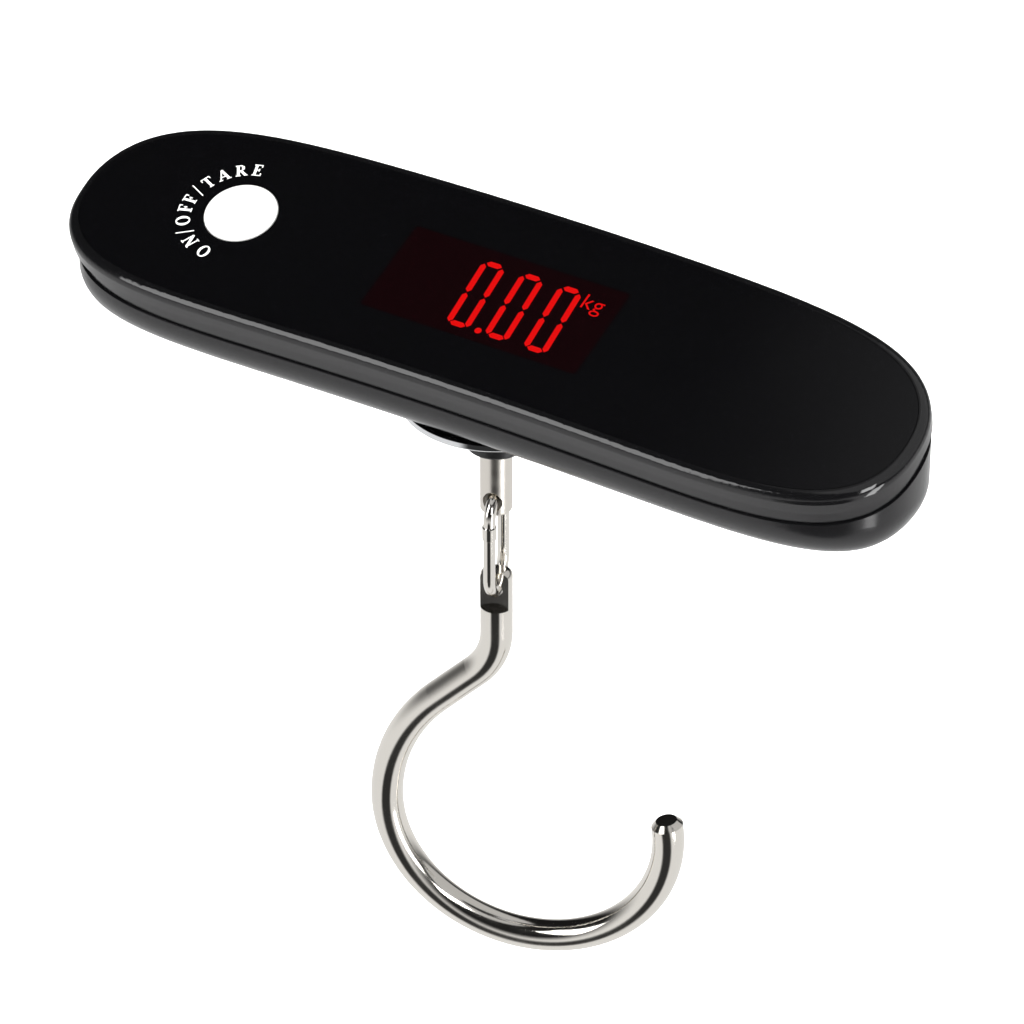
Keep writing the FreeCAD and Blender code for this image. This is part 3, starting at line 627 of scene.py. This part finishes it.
# each softbox: name, direction from the scale, distance in metres, width and height in metres,
# watts, and whether shiny surfaces mirror it
SOFTBOXES = [
    ("softbox_left", (-0.47, -0.76, 0.45), 1.2, 0.5, 0.9, 6.0, True),
    ("softbox_right", (0.72, -0.45, 0.52), 1.2, 0.3, 0.6, 5.0, True),
    ("softbox_low", (0.95, -0.25, -0.2), 1.2, 0.3, 0.9, 6.0, True),
    ("fill_overhead", (0.1, -0.3, 1.0), 1.3, 1.0, 1.0, 22.0, False),
]


class LUGGAGESCALE_OT_stage(bpy.types.Operator):
    """Sets up the pale floor and backdrop, the studio light and the camera"""

    bl_idname = "luggage_scale.stage"
    bl_label = "Stage"

    def execute(self, context):
        self.make_backdrop()
        self.make_world()
        for softbox in SOFTBOXES:
            self.make_softbox(*softbox)
        self.make_camera()
        context.scene.view_settings.view_transform = "Standard"
        return {"FINISHED"}

    def make_backdrop(self):
        """A round floor whose edge curves up into a wall."""
        floor_height = -FLOOR_DROP_MM * MM
        deselect_all()
        bpy.ops.mesh.primitive_circle_add(
            vertices=STAGE_CORNERS, radius=STAGE_RADIUS, fill_type="NGON", location=(0, 0, floor_height)
        )
        backdrop = bpy.context.object
        backdrop.name = "backdrop"
        bpy.ops.object.mode_set(mode="EDIT")
        bpy.ops.mesh.select_all(action="SELECT")
        bpy.ops.mesh.flip_normals()
        bpy.ops.mesh.region_to_loop()
        reach = STAGE_RADIUS
        for step in range(1, CURVE_STEPS + 1):
            turn = math.pi / 2 * step / CURVE_STEPS
            before = math.pi / 2 * (step - 1) / CURVE_STEPS
            rise = CURVE_RADIUS * (math.cos(before) - math.cos(turn))
            spread = (STAGE_RADIUS + CURVE_RADIUS * math.sin(turn)) / reach
            reach = STAGE_RADIUS + CURVE_RADIUS * math.sin(turn)
            bpy.ops.mesh.extrude_edges_move(TRANSFORM_OT_translate={"value": (0, 0, rise)})
            bpy.ops.transform.resize(value=(spread, spread, 1))
        bpy.ops.mesh.extrude_edges_move(TRANSFORM_OT_translate={"value": (0, 0, STAGE_WALL)})
        bpy.ops.object.mode_set(mode="OBJECT")
        bpy.ops.object.shade_smooth()
        # painted board, rolled matt: plain white, a little self-lit as in a light tent
        paint = surface("board_painted_matt", colours().stage, 0.8, 2.0, 0.01, 0.05, 0.01,
                        **{"Emission Color": linear(colours().stage), "Emission Strength": BOARD_GLOW})
        backdrop.data.materials.append(paint)
        backdrop.visible_glossy = False

    def make_world(self):
        """What the shiny surfaces mirror: a light floor, a dark card before it and a dark ceiling."""
        world = bpy.data.worlds.new("studio")
        bpy.context.scene.world = world
        world.use_nodes = True
        tree = world.node_tree
        tree.nodes.clear()
        where = add_node(tree, "ShaderNodeTexCoord")
        parts = add_node(tree, "ShaderNodeSeparateXYZ", None, {"Vector": (where, "Generated")})
        low = add_node(
            tree,
            "ShaderNodeMapRange",
            {"From Min": -HORIZON, "From Max": HORIZON, "To Min": LOW_LIGHT, "To Max": CEILING_LIGHT},
            {"Value": (parts, "Z")},
            interpolation_type="SMOOTHSTEP",
        )
        overhead = self.lobe(tree, where, *OVERHEAD_GLOW)
        card = self.lobe(tree, where, *DARK_CARD)
        shaded = add_node(
            tree, "ShaderNodeMath", None, {0: (low, "Result"), 1: (card, "Result")}, operation="MULTIPLY"
        )
        total = add_node(
            tree, "ShaderNodeMath", None, {0: (shaded, "Value"), 1: (overhead, "Result")}, operation="ADD"
        )
        light = add_node(
            tree, "ShaderNodeBackground", {"Color": (1, 1, 1, 1)}, {"Strength": (total, "Value")}
        )
        add_node(tree, "ShaderNodeOutputWorld", None, {"Surface": (light, "Background")})

    def lobe(self, tree, where, toward, edge, full, outside, inside):
        """A round patch of the studio about one direction, with a soft edge."""
        facing = add_node(
            tree, "ShaderNodeVectorMath", None, {0: (where, "Generated")}, operation="DOT_PRODUCT"
        )
        facing.inputs[1].default_value = Vector(toward).normalized()
        return add_node(
            tree,
            "ShaderNodeMapRange",
            {"From Min": edge, "From Max": full, "To Min": outside, "To Max": inside},
            {"Value": (facing, "Value")},
            interpolation_type="SMOOTHSTEP",
        )

    def make_softbox(self, name, direction, distance, width, height, watts, mirrored):
        deselect_all()
        away = Vector(direction).normalized()
        bpy.ops.object.light_add(type="AREA", location=LIGHT_TARGET + away * distance)
        lamp = bpy.context.object
        lamp.name = name
        lamp.data.shape = "RECTANGLE"
        lamp.data.size = width
        lamp.data.size_y = height
        lamp.data.energy = watts
        lamp.visible_glossy = mirrored
        lamp.rotation_euler = away.to_track_quat("Z", "Y").to_euler()

    def make_camera(self):
        back = CAMERA_BACK.normalized()
        right = CAMERA_RIGHT.normalized()
        up = back.cross(right).normalized()
        across, rise, away = CAMERA_OFFSET_MM
        spot = face_matrix().translation + (across * right + rise * up + away * back) * MM
        deselect_all()
        bpy.ops.object.camera_add()
        camera = bpy.context.object
        camera.name = "camera"
        turn = Matrix((right, up, back)).transposed().to_4x4()
        camera.matrix_world = Matrix.Translation(spot) @ turn
        camera.data.angle = 2 * math.atan(CAMERA_HALF_FIELD)
        camera.data.clip_start = CAMERA_NEAR
        camera.data.clip_end = CAMERA_FAR
        bpy.context.scene.camera = camera


class LUGGAGESCALE_PT_panel(bpy.types.Panel):
    """Lists the steps that finish the luggage scale"""

    bl_idname = "LUGGAGESCALE_PT_panel"
    bl_label = "Luggage scale"
    bl_space_type = "VIEW_3D"
    bl_region_type = "UI"
    bl_category = "Luggage Scale"

    def draw(self, context):
        for step in STEPS:
            self.layout.operator(step.bl_idname)
        for group in (sizes(), colours()):
            for name in group.__annotations__:
                self.layout.prop(group, name)


STEPS = [
    LUGGAGESCALE_OT_plastics,
    LUGGAGESCALE_OT_metals,
    LUGGAGESCALE_OT_inner_parts,
    LUGGAGESCALE_OT_digits,
    LUGGAGESCALE_OT_unit_sign,
    LUGGAGESCALE_OT_lettering,
    LUGGAGESCALE_OT_stage,
]
CLASSES = [ScaleSizes, ScaleColours, *STEPS, LUGGAGESCALE_PT_panel]


def register():
    for cls in CLASSES:
        bpy.utils.register_class(cls)
    bpy.types.Scene.luggage_scale_sizes = PointerProperty(type=ScaleSizes)
    bpy.types.Scene.luggage_scale_colours = PointerProperty(type=ScaleColours)


def unregister():
    del bpy.types.Scene.luggage_scale_colours
    del bpy.types.Scene.luggage_scale_sizes
    for cls in reversed(CLASSES):
        bpy.utils.unregister_class(cls)


def main():
    register()
    for step in STEPS:
        group, name = step.bl_idname.split(".")
        getattr(getattr(bpy.ops, group), name)()


if __name__ == "__main__":
    main()
